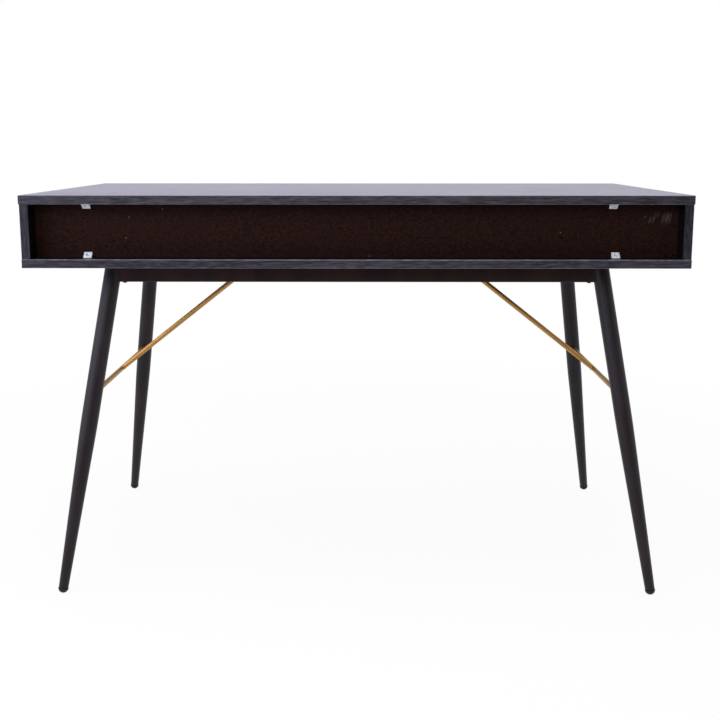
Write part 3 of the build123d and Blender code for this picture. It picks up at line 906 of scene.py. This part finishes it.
# %% Braces
pad_corner = 0.0045
pad_rim = 0.0007
pad_bite = 0.001
foot_collar = 0.0062
head_collar = 0.0050
for side, side_name, finish in ((-1, "left", brass_left), (1, "right", brass_right)):
    foot = Vector((side * stretcher_x, 0, stretcher_z))
    head = Vector((side * pad_x, 0, pad_bottom))
    way = (head - foot).normalized()
    rod_length = (head - foot).length + pad_bite
    rod = carried(brazed_rod(rod_length, foot_collar, head_collar), laid(foot, foot + way))
    cut_level(rod, pad_bottom + pad_bite, True)
    pad = block(pad_size)
    rounded(pad, [edge for edge in pad.edges if spans(edge, 2)], pad_corner, 6)
    rim = [edge for edge in pad.edges if all(vert.co.z < 0 for vert in edge.verts)]
    rounded(pad, rim, pad_rim, 6)
    gather(rod, pad, Matrix.Translation((side * pad_x, 0, box_bottom - pad_size.z / 2)))
    settle(rod, side_name + "_brace_rod", "root", finish, "brass", side_name + "_brace")

# %% [markdown]
# Cuts that no bmesh operator makes, such as the cross in a screw, come from a Boolean modifier. A helper
# gives a shape one modifier and hands back the result as a new shape.


# %% Modifiers on a shape
def worked(bm, kind, **settings):
    """The shape after one modifier."""
    blank = new_object("work", bm)
    mesh = blank.data
    change = blank.modifiers.new("change", kind)
    for name, value in settings.items():
        setattr(change, name, value)
    depsgraph = bpy.context.evaluated_depsgraph_get()
    done = bmesh.new()
    done.from_mesh(blank.evaluated_get(depsgraph).to_mesh())
    bpy.data.objects.remove(blank)
    bpy.data.meshes.remove(mesh)
    return done


def carved(bm, cutter):
    """The shape less a cutter."""
    tool = new_object("cutter", cutter)
    mesh = tool.data
    done = worked(bm, "BOOLEAN", operation="DIFFERENCE", solver="EXACT", object=tool)
    bpy.data.objects.remove(tool)
    bpy.data.meshes.remove(mesh)
    return done


def brick(low, high):
    """A plain block between two corners, used only to cut with."""
    bm = block(Vector(high) - Vector(low))
    bmesh.ops.translate(bm, vec=(Vector(high) + Vector(low)) / 2, verts=bm.verts)
    return bm


print("modifier helpers ready")

# %% [markdown]
# All small screws are alike: a pan head with a cross recess that faces away from the board. One is turned
# and cut, and its copies are laid along their directions.

# %% One screw
screw_radius = 0.0032
screw_head = 0.0016
core_radius = 0.0016
core_length = 0.006
screw_section = [
    (0, -screw_head),
    (screw_radius * 0.45, -screw_head * 0.98),
    (screw_radius * 0.72, -screw_head * 0.86),
    (screw_radius * 0.90, -screw_head * 0.60),
    (screw_radius * 0.99, -screw_head * 0.22),
    (screw_radius, 0),
    (core_radius, 0),
    (core_radius, core_length),
    (0, core_length),
]


def cross_slots(span, width, top, floor):
    """The two crossing slots of a driver's recess."""
    return [
        brick((-span, -width, top), (span, width, floor)),
        brick((-width, -span, top), (width, span, floor)),
    ]


screw = turned(screw_section, 36)
for slot_cutter in cross_slots(span=0.0018, width=0.00042, top=-0.0030, floor=-0.0006):
    screw = carved(screw, slot_cutter)
one_screw = bpy.data.meshes.new("one_screw")
screw.to_mesh(one_screw)
screw.free()


def screws(name, body, places, replaced):
    """Screws at their seats, each along a direction and with its own turn of the cross."""
    bm = bmesh.new()
    for count, (seat, direction) in enumerate(places):
        copy = bmesh.new()
        copy.from_mesh(one_screw)
        turn = Matrix.Rotation(math.radians(37 * count % 90), 4, "Z")
        gather(bm, copy, laid(seat, Vector(seat) + Vector(direction)) @ turn)
    settle(bm, name, body, screw_steel, "screw_steel", replaced)


print("one screw has", len(one_screw.polygons), "faces")

# %% [markdown]
# The hardboard back is held by four white wedges, screwed into the corners between it and the boards. A
# wedge is a triangle drawn across the width, with rounded edges and a pocket for the screw's head. The
# upper two are the same wedge upside down. They were placed by hand and are not quite in line.

# %% Clips
clip_leg = 0.010
clip_half = 0.0075
hole_offset = 0.0042
clip_floor = 0.0024
back_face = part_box("back_panel")[1].y
clip_edge = 0.0007
pocket_section = [(0, 0), (0.0034, 0), (0.0036, 0.012), (0, 0.012)]


def wedge():
    """A clip with its corner at the origin, its foot on z = 0 and its back on y = 0."""
    bm = bmesh.new()
    outline = [bm.verts.new((-clip_half, y, z)) for y, z in ((0, 0), (clip_leg, 0), (0, clip_leg))]
    face = bm.faces.new(outline)
    pulled = bmesh.ops.extrude_face_region(bm, geom=[face])
    moved = only(bmesh.types.BMVert, pulled["geom"])
    bmesh.ops.translate(bm, vec=(2 * clip_half, 0, 0), verts=moved)
    bmesh.ops.recalc_face_normals(bm, faces=bm.faces)
    rounded(bm, bm.edges[:], clip_edge, 3)
    pocket = turned(pocket_section, 32)
    bmesh.ops.translate(pocket, vec=(0, hole_offset, clip_floor), verts=pocket.verts)
    return carved(bm, pocket)


clip_places = [(0.488, -1), (-0.471, -1), (0.488, 1), (-0.464, 1)]
clips = bmesh.new()
clip_seats = []
for place_x, up in clip_places:
    level = bay_ceiling if up > 0 else bay_floor
    seat = Matrix.Translation((place_x, back_face, level))
    gather(clips, wedge(), seat @ Matrix.Diagonal((1, 1, -up, 1)))
    clip_seats.append(((place_x, back_face + hole_offset, level - up * clip_floor), (0, 0, up)))
settle(clips, "wedge_clips", "root", white_plastic, "white_plastic", "back_panel_clips")
screws("wedge_clip_screws", "root", clip_seats, "back_panel_clip_screws")

# %% [markdown]
# The pads of the braces have two screws each, from below.

# %% Pad screws
pad_rows = (-0.018, 0.018)
pad_seats = [((side * pad_x, row, pad_bottom), (0, 0, 1)) for side in (-1, 1) for row in pad_rows]
screws("pad_screws", "root", pad_seats, "brace_screws")

# %% [markdown]
# A cam is a short cast drum in a bored hole. What shows is a thin rim that covers the edge of the hole,
# and a cross recess.


# %% Cams
def cam(radius):
    """A cam that faces up, with its rim on the board at z = 0."""
    section = [
        (0, 0.00015),
        (radius * 0.80, 0.00015),
        (radius * 0.86, 0.00035),
        (radius * 1.05, 0.00035),
        (radius * 1.08, 0.0),
        (radius * 0.84, -0.0002),
        (radius * 0.84, -0.006),
        (0, -0.006),
    ]
    shape = turned(section, 48)
    for slot_cutter in cross_slots(span=radius * 0.58, width=radius * 0.13, top=0.002, floor=-0.0035):
        shape = carved(shape, slot_cutter)
    return shape


def cams(name, body, radius, places, replaced):
    """Cams at their places, each facing a direction."""
    bm = bmesh.new()
    for count, (seat, direction) in enumerate(places):
        turn = Matrix.Rotation(math.radians(12 + 29 * count), 4, "Z")
        gather(bm, cam(radius), laid(seat, Vector(seat) + Vector(direction)) @ turn)
    settle(bm, name, body, zinc_casting, "zinc_casting", replaced)


cam_rows = (-0.24, 0.201)
cam_inset = 0.034
box_cam_radius = 0.0075
box_cams = []
for side in (-1, 1):
    for row in cam_rows:
        for level in (bay_floor + cam_inset, bay_ceiling - cam_inset):
            box_cams.append(((side * side_face, row, level), (-side, 0, 0)))
cams("box_cams", "root", box_cam_radius, box_cams, "carcass_cam_locks")

divider_face = 0.008
runner_gap = 0.0125
drawer_side = 0.012
inside = runner_gap + drawer_side
front_cam_y = -0.260
front_cam_radius = 0.006
drawer_walls = {"left_drawer": (-side_face, -divider_face), "right_drawer": (divider_face, side_face)}
for drawer, (low_wall, high_wall) in drawer_walls.items():
    drawer_cams = [
        ((low_wall + inside, front_cam_y, bay_middle), (1, 0, 0)),
        ((high_wall - inside, front_cam_y, bay_middle), (-1, 0, 0)),
    ]
    cams(drawer + "_cams", drawer, front_cam_radius, drawer_cams, drawer + "_cam_locks")

# %% [markdown]
# The drawers run on roller runners, strips of zinc-plated steel folded along their length: a bent line is
# pulled along the depth, its folds are rounded, and Solidify makes it one millimetre thick. Holes in the
# web, 32 mm apart, suit any drilled side. The bay's half has a tread and a lip for the drawer's rear
# roller, and the drawer's half has a track that lies on the bay's front roller.

# %% Folded strips
runner_front = -0.282
runner_rear = 0.166
steel = 0.001
fold_radius = 0.0012
pin_reach = 0.0088


def folded(corners):
    """A folded strip; its corners are (distance from the wall, height)."""
    bm = bmesh.new()
    line = [bm.verts.new((away, runner_front, height)) for away, height in corners]
    edges = [bm.edges.new(pair) for pair in zip(line, line[1:])]
    pulled = bmesh.ops.extrude_edge_only(bm, edges=edges)
    moved = only(bmesh.types.BMVert, pulled["geom"])
    bmesh.ops.translate(bm, vec=(0, runner_rear - runner_front, 0), verts=moved)
    folds = [edge for edge in bm.edges if len(edge.link_faces) == 2]
    rounded(bm, folds, fold_radius, 4)
    bmesh.ops.recalc_face_normals(bm, faces=bm.faces)
    return worked(bm, "SOLIDIFY", thickness=steel, offset=0.0, use_even_offset=True)


def drilled(strip, away, level, rows, radius):
    """The strip with a row of holes through its web."""
    drills = bmesh.new()
    for row in rows:
        drill = turned([(0, -0.003), (radius, -0.003), (radius, 0.003), (0, 0.003)], 20)
        gather(drills, drill, laid((away, row, level), (away + 1, row, level)))
    return carved(strip, drills)


def pin(away, row, level, way):
    """The riveted pin that a roller turns on."""
    section = [
        (0, -0.0009),
        (0.0028, -0.0008),
        (0.0034, -0.0003),
        (0.0034, 0.0),
        (0.0025, 0.0002),
        (0.0025, pin_reach - 0.0008),
        (0.0033, pin_reach - 0.0006),
        (0.0033, pin_reach - 0.0002),
        (0.0026, pin_reach),
        (0, pin_reach),
    ]
    return carried(turned(section, 28), laid((away, row, level), (away + way, row, level)))


print("runner strips are", round(runner_rear - runner_front, 3), "m long")

# %% [markdown]
# The two halves are made in the distance from the wall, then carried to it, mirrored on one side. The
# mouth of the bay's half is open at the front, so that the drawer's roller can be lifted in.

# %% Runners
rear_roller = Vector((0, 0.151, 0.6493))
front_roller = Vector((0, -0.267, 0.6497))
web_level = 0.653
bay_web = 0.0005
drawer_web = 0.012
drawer_web_face = 0.0115
hole_radius = 0.0022
hole_pitch = 0.032
hole_rows = [runner_front + 0.046 + hole_pitch * count for count in range(11)]
screw_rows = (runner_front + 0.110, runner_rear - 0.100)
mouth = ((0.0012, runner_front - 0.01, 0.6595), (0.02, runner_front + 0.03, 0.67))
bay_corners = [(0.006, 0.6612), (bay_web, 0.6612), (bay_web, 0.6395), (0.0105, 0.6395), (0.0105, 0.6425)]
drawer_corners = [(0.0245, 0.6455), (drawer_web, 0.6455), (drawer_web, 0.6595), (0.0035, 0.6595)]


def bay_half():
    """The runner on the bay's wall."""
    strip = carved(folded(bay_corners), brick(*mouth))
    strip = drilled(strip, bay_web, web_level, hole_rows, hole_radius)
    gather(strip, pin(steel, front_roller.y, front_roller.z, 1))
    return strip


def drawer_half():
    """The runner on the drawer's side."""
    strip = drilled(folded(drawer_corners), drawer_web, web_level, hole_rows, hole_radius)
    gather(strip, pin(drawer_web_face, rear_roller.y, rear_roller.z, -1))
    return strip


bay_seats = []
for drawer, walls in drawer_walls.items():
    runner_seats = []
    for wall, inward, side_name in ((walls[0], 1, "left"), (walls[1], -1, "right")):
        to_wall = Matrix.Translation((wall, 0, 0)) @ Matrix.Diagonal((inward, 1, 1, 1))
        for make, part, body in ((bay_half, "_bay_runner", "root"), (drawer_half, "_runner", drawer)):
            name = drawer + "_" + side_name + part
            settle(carried(make(), to_wall), name + "_steel", body, zinc_sheet, "zinc_sheet", name)
        shift = hole_pitch if inward < 0 else 0
        for row in screw_rows:
            bay_seats.append(((wall + inward * steel, row + shift, web_level), (-inward, 0, 0)))
            drawer_face = wall + inward * drawer_web_face
            runner_seats.append(((drawer_face, row + shift, web_level), (inward, 0, 0)))
    screws(drawer + "_runner_screw_heads", drawer, runner_seats, drawer + "_runner_screws")
screws("bay_runner_screw_heads", "root", bay_seats, "bay_runner_screws")

# %% [markdown]
# A roller is a small nylon wheel with softened shoulders, a hub and a thin web. The pockets between its
# spokes are faces of the web that are inset and pushed in, so that its turning shows.

# %% Rollers
roller_radius = 0.009
roller_half = 0.003
web_inner = 0.0044
web_outer = 0.0069
spokes = 5
pocket_start = 12
pocket_end = 60
roller_section = [
    (0.00262, -roller_half),
    (0.0040, -roller_half),
    (0.0043, -roller_half + 0.0006),
    (0.0070, -roller_half + 0.0006),
    (0.0073, -roller_half),
    (0.0084, -roller_half),
    (roller_radius - 0.0001, -roller_half + 0.0005),
    (roller_radius, -roller_half + 0.0011),
]
roller_section += [(radius, -height) for radius, height in reversed(roller_section)]
roller_section.append(roller_section[0])


def wheel():
    """A roller about the upright axis."""
    bm = turned(roller_section, 50)
    for face_way in (-1, 1):
        flat = [face for face in bm.faces if face.normal.z * face_way > 0.95]
        web = [face for face in flat if web_inner < face.calc_center_median().xy.length < web_outer]
        for spoke in range(spokes):
            sector = []
            for face in web:
                centre = face.calc_center_median()
                angle = (math.degrees(math.atan2(centre.y, centre.x)) - 360 / spokes * spoke) % 360
                if pocket_start < angle < pocket_end:
                    sector.append(face)
            bmesh.ops.inset_region(bm, faces=sector, thickness=0.0003, depth=-0.0006, use_even_offset=True)
    return bm


roller_pairs = [("_front_rollers", front_roller, 0.006), ("_rear_rollers", rear_roller, 0.0065)]
for drawer, walls in drawer_walls.items():
    for part, centre, away in roller_pairs:
        bm = bmesh.new()
        for wall, inward in ((walls[0], 1), (walls[1], -1)):
            middle = Vector((wall + inward * away, centre.y, centre.z))
            gather(bm, wheel(), laid(middle, middle + Vector((inward, 0, 0))))
        settle(bm, drawer + part + "_nylon", drawer + part, nylon, "nylon", drawer + part)
